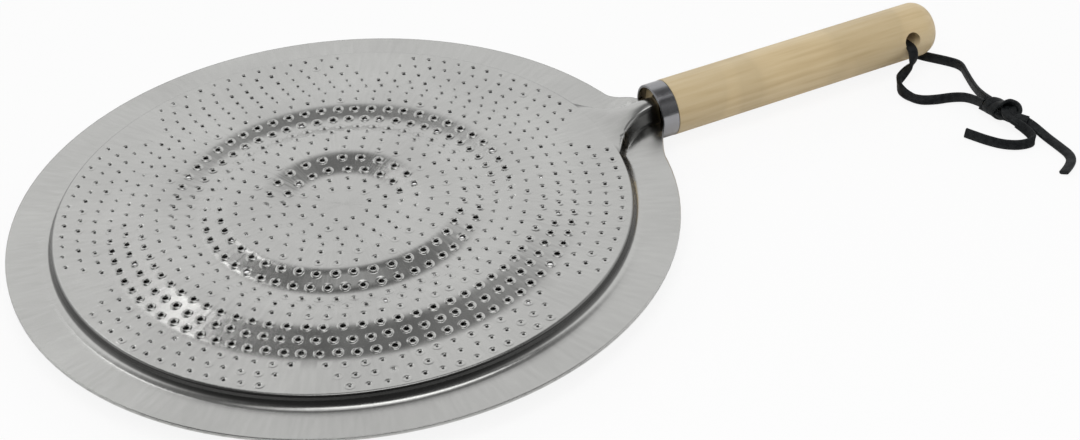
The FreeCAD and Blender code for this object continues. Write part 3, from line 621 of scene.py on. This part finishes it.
LACE_ACROSS = {
    "lace_loop": [(0, 0, 1)] * 3 + [(0.1, 0.3, 1)] * 4 + [(0.7, 0, 0.7), (1, 0, 0.2)] + [(1, 0, 0)] * 4
                 + [(1, -0.2, 0), (1, -0.2, 0), (0.8, 0.4, 0), (0.3, 1, 0.3), (0.2, 0.5, 0.8), (0.3, 0.5, 0.6),
                    (0.4, 0.9, 0.2), (0.2, 0.6, 0.7), (0.1, 0.4, 0.9), (0, 0.2, 1), (0, 0, 1)],
    "lace_tail_a": [(0.6, 0, 0.6)] + [(1, 0.1, 0.1)] * 4 + [(0.7, -0.7, 0.3)] * 2,
    "lace_tail_b": [(0.4, 0, 0.8)] * 2 + [(0.2, 0.4, 0.9)] * 6,
}


def smooth_line(name, route):
    """Points of a NURBS spline with the route's points as its control points."""
    curve = bpy.data.curves.new(name + "_line", "CURVE")
    curve.dimensions = "3D"
    spline = curve.splines.new("NURBS")
    spline.points.add(len(route) - 1)
    spline.points.foreach_set("co", np.hstack([np.array(route) * MM, np.ones((len(route), 1))]).ravel())
    spline.order_u = 3
    spline.use_endpoint_u = True
    spline.resolution_u = 10
    line = bpy.data.objects.new(name + "_line", curve)
    mesh = bpy.data.meshes.new_from_object(line)
    points = np.zeros(len(mesh.vertices) * 3)
    mesh.vertices.foreach_get("co", points)
    bpy.data.objects.remove(line)
    bpy.data.meshes.remove(mesh)
    return points.reshape(-1, 3)


def lace_strip(points, across, width, aside=0.0):
    """Vertices and faces of a flat strip along the points: a superellipse p + w cos(t)^k across + d sin(t)^k up,
    with signs kept, whose width turns from one of the across directions to the next. aside moves the strip
    along its own width."""
    share = np.linspace(0, 1, len(points))
    wanted = np.stack([np.interp(share, np.linspace(0, 1, len(across)), part) for part in np.array(across, float).T],
                      axis=1)
    ahead = np.gradient(points, axis=0)
    ahead /= np.linalg.norm(ahead, axis=1, keepdims=True)
    sideways = wanted - ahead * np.sum(wanted * ahead, axis=1, keepdims=True)
    sideways /= np.linalg.norm(sideways, axis=1, keepdims=True)
    upward = np.cross(sideways, ahead)
    turn = 2 * np.pi * np.arange(LACE_SIDES) / LACE_SIDES
    wide = np.sign(np.cos(turn)) * np.abs(np.cos(turn)) ** LACE_SQUARENESS * width / 2 + aside
    deep = np.sign(np.sin(turn)) * np.abs(np.sin(turn)) ** LACE_SQUARENESS * LACE_THICKNESS / 2
    vertices = points[:, None] + sideways[:, None] * wide[:, None] + upward[:, None] * deep[:, None]
    faces = grid_quads(0, len(points), turn.size, True)[:, ::-1].tolist()
    faces += [list(range(turn.size))[::-1], list(range((len(points) - 1) * turn.size, len(points) * turn.size))]
    return vertices.reshape(-1, 3), faces


leather, tree, shader = new_finish("black_leather")
place = tree.nodes.new("ShaderNodeTexCoord").outputs["Object"]
grain = mottle(tree, place, 700, 4, 0, 1)
tree.links.new(grey_ramp(tree, grain, LEATHER_TONES), shader.inputs["Base Color"])
shader.inputs["Specular IOR Level"].default_value = 0.3
tree.links.new(mottle(tree, place, 500, 2, 0.42, 0.6), shader.inputs["Roughness"])
tree.links.new(bumped(tree, grain, 0.35, 0.12 * MM), shader.inputs["Normal"])

# The knot: two strands side by side along one path, which is drawn along the lace and then turned into place.
KNOT_MIDDLE = np.array([215.1, -47.7, 3.4])
KNOT_AXES = np.array([[0.1865, -0.9825, 0], [0.9825, 0.1865, 0], [0, 0, 1]])
KNOT_PATH = [(-9.0, -1.0, 0.0), (-6.6, -0.6, -0.2), (-3.4, -0.2, -0.6), (0.6, 0.0, -0.9), (2.9, 1.0, -0.6),
             (3.0, 2.7, 0.5), (0.9, 3.1, 1.6), (-2.0, 1.7, 2.5), (-4.1, -1.3, 2.3), (-5.0, -3.0, 0.2),
             (-4.2, -1.6, -2.2), (-2.2, 1.2, -2.4), (-0.4, 2.7, -0.6), (0.4, 1.2, 1.8), (2.6, -0.9, 1.4),
             (5.6, -0.8, 0.5), (9.0, 0.8, 0.0)]
KNOT_ACROSS = [(0, 0.7, 0.7), (0, 1, 0.3), (0, 1, 0), (0, 1, 0), (0.2, 0.6, 0.7), (0.6, 0.2, 0.8), (1, 0.2, 0.5),
               (1, 0.3, 0.2), (1, 0.2, 0), (1, 0, 0), (1, 0, 0), (1, 0, 0), (0.8, 0, 0.3), (0.8, 0.6, 0),
               (0.4, 0.9, 0.2), (0, 1, 0), (0, 0.9, 0.4)]
turned = np.array(KNOT_PATH) @ KNOT_AXES + KNOT_MIDDLE
line = smooth_line("lace_knot", turned)
knot_vertices = []
knot_faces = []
for aside in (-KNOT_STRAND_ASIDE, KNOT_STRAND_ASIDE):
    vertices, faces = lace_strip(line, np.array(KNOT_ACROSS) @ KNOT_AXES, KNOT_STRAND_WIDTH, aside=aside)
    knot_faces += [[index + sum(map(len, knot_vertices)) for index in face] for face in faces]
    knot_vertices.append(vertices)
knot = mesh_piece("lace_knot_tied", np.vstack(knot_vertices), knot_faces, sharp=60)
knot.data.materials.append(leather)
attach(knot, "root")
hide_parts("lace_knot")
for name, route in LACE_ROUTES.items():
    line = smooth_line(name, route)
    vertices, faces = lace_strip(line, LACE_ACROSS[name], LACE_WIDTH)
    strip = mesh_piece(name + "_strip", vertices, faces, sharp=60)
    strip.data.materials.append(leather)
    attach(strip, "root")
    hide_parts(name)

# Floor, light and camera: a white floor just under the part and its lace, with soft studio light. The camera
# stands where the photograph was taken from. The floor looks white to the camera and keeps the part's shadow.
FLOOR_HALF = 3
FLOOR_LEVEL = -0.4 * MM
FLOOR_SHARE_WHITE = 0.88
floor_mesh = bpy.data.meshes.new("floor")
corners = np.array([(-1, -1), (1, -1), (1, 1), (-1, 1)]) * FLOOR_HALF
floor_mesh.from_pydata([(*corner, FLOOR_LEVEL) for corner in corners.tolist()], [], [(0, 1, 2, 3)])
floor = bpy.data.objects.new("floor", floor_mesh)
bpy.context.scene.collection.objects.link(floor)
white, tree, shader = new_finish("floor_white")
shader.inputs["Base Color"].default_value = (0.9, 0.9, 0.9, 1)
shader.inputs["Roughness"].default_value = 0.9
shader.inputs["Specular IOR Level"].default_value = 0
glow = tree.nodes.new("ShaderNodeEmission")
glow.inputs["Strength"].default_value = 1
seen = tree.nodes.new("ShaderNodeLightPath").outputs["Is Camera Ray"]
blend = tree.nodes.new("ShaderNodeMixShader")
tree.links.new(combine(tree, "MULTIPLY", seen, FLOOR_SHARE_WHITE), blend.inputs["Fac"])
tree.links.new(shader.outputs["BSDF"], blend.inputs[1])
tree.links.new(glow.outputs["Emission"], blend.inputs[2])
tree.links.new(blend.outputs["Shader"], tree.nodes["Material Output"].inputs["Surface"])
floor.data.materials.append(white)

VIEW_ANGLES = (-24.55, 36.11, -3.06)
VIEW_DISTANCE = 759.6 * MM
AIM = np.array([52.52, -31.86, 8.6]) * MM
FOCAL_PIXELS = 2450.3
PICTURE_PIXELS = 1080
SENSOR_WIDTH = 36
azimuth, elevation, roll = np.deg2rad(VIEW_ANGLES)
back = np.array([np.sin(azimuth) * np.cos(elevation), -np.cos(azimuth) * np.cos(elevation), np.sin(elevation)])
level_right = np.array([np.cos(azimuth), np.sin(azimuth), 0])
level_back = np.array([np.sin(azimuth), -np.cos(azimuth), 0])

world = bpy.data.worlds.new("studio")
bpy.context.scene.world = world
world.use_nodes = True
tree = world.node_tree
place = tree.nodes.new("ShaderNodeTexCoord")
split = tree.nodes.new("ShaderNodeSeparateXYZ")
tree.links.new(place.outputs["Generated"], split.inputs["Vector"])
height_glow = grey_ramp(tree, split.outputs["Z"], [(0.0, 0.80), (0.67, 0.86), (0.76, 0.34), (0.86, 0.13),
                                                  (0.93, 0.13), (0.98, 1.0)])
towards = on_vector(tree, "DOT_PRODUCT", place.outputs["Generated"], tuple(level_back)).outputs["Value"]
side_glow = grey_ramp(tree, towards, [(0.0, 1.0), (0.35, 0.35), (0.7, 0.15)])
around = times(tree, height_glow, side_glow)
seen = tree.nodes.new("ShaderNodeLightPath")
shown = tree.nodes.new("ShaderNodeMix")
shown.data_type = "RGBA"
shown.inputs["B"].default_value = (1, 1, 1, 1)
tree.links.new(seen.outputs["Is Camera Ray"], shown.inputs["Factor"])
tree.links.new(around, shown.inputs["A"])
tree.links.new(shown.outputs["Result"], tree.nodes["Background"].inputs["Color"])


def softbox(name, direction, distance, width, depth, level):
    """A lamp that faces the disc from the given direction, width long in line with the handle and depth across.
    Its power is pi * width * depth * level, at which the lamp looks as bright as the given level."""
    data = bpy.data.lights.new(name, "AREA")
    data.shape = "RECTANGLE"
    data.size = width
    data.size_y = depth
    data.energy = np.pi * width * depth * level
    lamp = bpy.data.objects.new(name, data)
    bpy.context.scene.collection.objects.link(lamp)
    facing = Vector(direction).normalized()
    across = facing.cross(Vector((1, 0, 0))).normalized()
    turned = Matrix((across.cross(facing), across, facing)).transposed().to_4x4()
    lamp.matrix_world = Matrix.Translation(facing * distance) @ turned
    return lamp


key_from = -0.33 * level_right - 0.57 * level_back + np.array([0, 0, 0.75])
fill_from = 0.6 * level_back + np.array([0, 0, 1])
softbox("key", key_from, distance=1.6, width=0.16, depth=0.16, level=3.0)
softbox("strip", (0.08, -0.19, 1.0), distance=1.5, width=1.1, depth=0.32, level=1.5)
softbox("fill", fill_from, distance=1.5, width=1.3, depth=1.3, level=2.5).visible_glossy = False

level_up = np.cross(back, level_right)
right = level_right * np.cos(roll) + level_up * np.sin(roll)
up = -level_right * np.sin(roll) + level_up * np.cos(roll)
eye = AIM + back * VIEW_DISTANCE
camera_data = bpy.data.cameras.new("camera")
camera_data.sensor_width = SENSOR_WIDTH
camera_data.lens = FOCAL_PIXELS * SENSOR_WIDTH / PICTURE_PIXELS
camera = bpy.data.objects.new("camera", camera_data)
bpy.context.scene.collection.objects.link(camera)
camera.matrix_world = Matrix([[*row, place] for row, place in zip(np.stack([right, up, back], axis=1), eye)]
                             + [[0, 0, 0, 1]])
bpy.context.scene.camera = camera
bpy.context.scene.view_settings.view_transform = "Standard"
